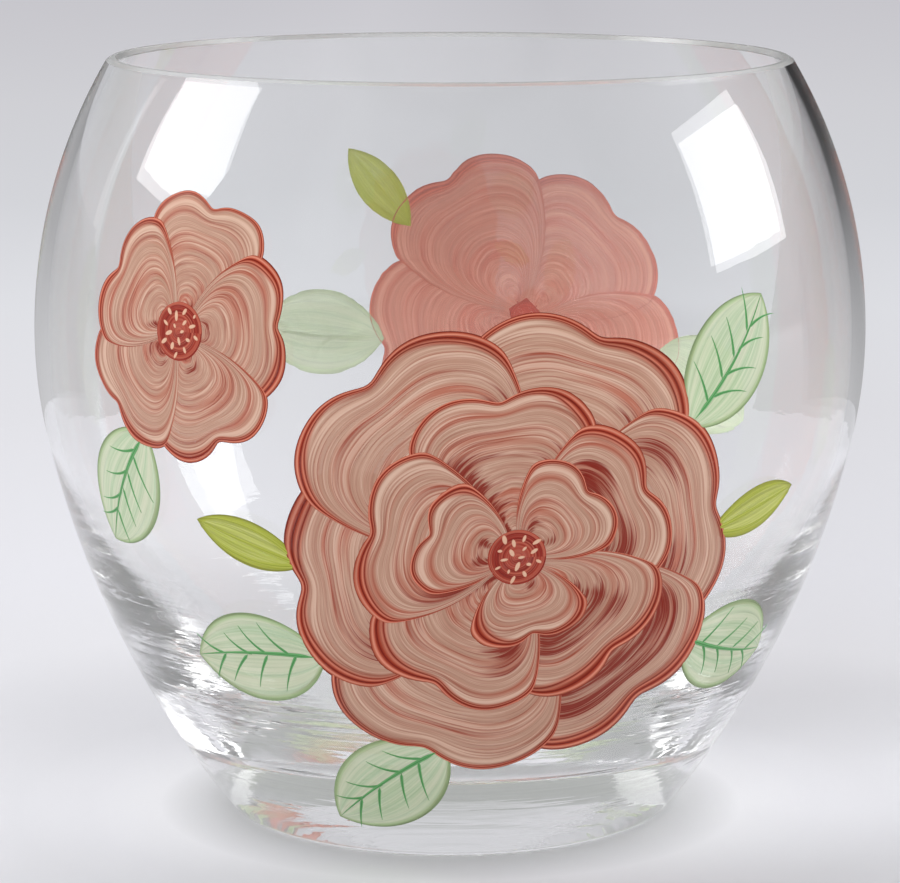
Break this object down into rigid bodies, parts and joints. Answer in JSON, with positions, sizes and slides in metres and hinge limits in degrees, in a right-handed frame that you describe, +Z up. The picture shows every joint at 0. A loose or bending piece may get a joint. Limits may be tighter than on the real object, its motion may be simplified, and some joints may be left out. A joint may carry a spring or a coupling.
{
  "type": "rose bowl vase",
  "caption": "Rounded clear glass flower bowl with a wide mouth, a heavy clear foot, and blossoms and leaves painted on its outside.",
  "frame": {"origin": "centre of the foot, on the surface that the bowl stands on", "axes": "+Z up the axis of the bowl, out of its mouth; -Y towards the viewer, at the side with the largest bloom; +X to the viewer's right"},
  "size_m": [0.1746, 0.1752, 0.16],
  "materials": {
    "clear_glass": "fire-polished clear glass with a ground rim",
    "petal_paint": "glossy streaked enamel, brushed on",
    "heart_paint": "glossy streaked enamel, brushed on",
    "leaf_paint": "glossy thin enamel with drawn veins",
    "bud_paint": "glossy enamel, brushed on"
  },
  "bodies": {
    "root": {"back_bloom_heart": "heart_paint", "back_bloom_petal_1": "petal_paint", "back_bloom_petal_2": "petal_paint", "back_bloom_petal_3": "petal_paint", "back_bloom_petal_4": "petal_paint", "back_bloom_petal_5": "petal_paint", "bud_back": "bud_paint", "bud_left": "bud_paint", "bud_right": "bud_paint", "glass_bowl": "clear_glass", "large_bloom_heart": "heart_paint", "large_bloom_inner_petal_1": "petal_paint", "large_bloom_inner_petal_2": "petal_paint", "large_bloom_inner_petal_3": "petal_paint", "large_bloom_middle_petal_1": "petal_paint", "large_bloom_middle_petal_2": "petal_paint", "large_bloom_middle_petal_3": "petal_paint", "large_bloom_middle_petal_4": "petal_paint", "large_bloom_middle_petal_5": "petal_paint", "large_bloom_outer_petal_1": "petal_paint", "large_bloom_outer_petal_2": "petal_paint", "large_bloom_outer_petal_3": "petal_paint", "large_bloom_outer_petal_4": "petal_paint", "large_bloom_outer_petal_5": "petal_paint", "large_bloom_outer_petal_6": "petal_paint", "leaf_back_left": "leaf_paint", "leaf_back_low": "leaf_paint", "leaf_back_right": "leaf_paint", "leaf_left": "leaf_paint", "leaf_low": "leaf_paint", "leaf_low_right": "leaf_paint", "leaf_right": "leaf_paint", "leaf_top_left": "leaf_paint", "small_bloom_heart": "heart_paint", "small_bloom_petal_1": "petal_paint", "small_bloom_petal_2": "petal_paint", "small_bloom_petal_3": "petal_paint", "small_bloom_petal_4": "petal_paint", "small_bloom_petal_5": "petal_paint"}
  },
  "joints": []
}
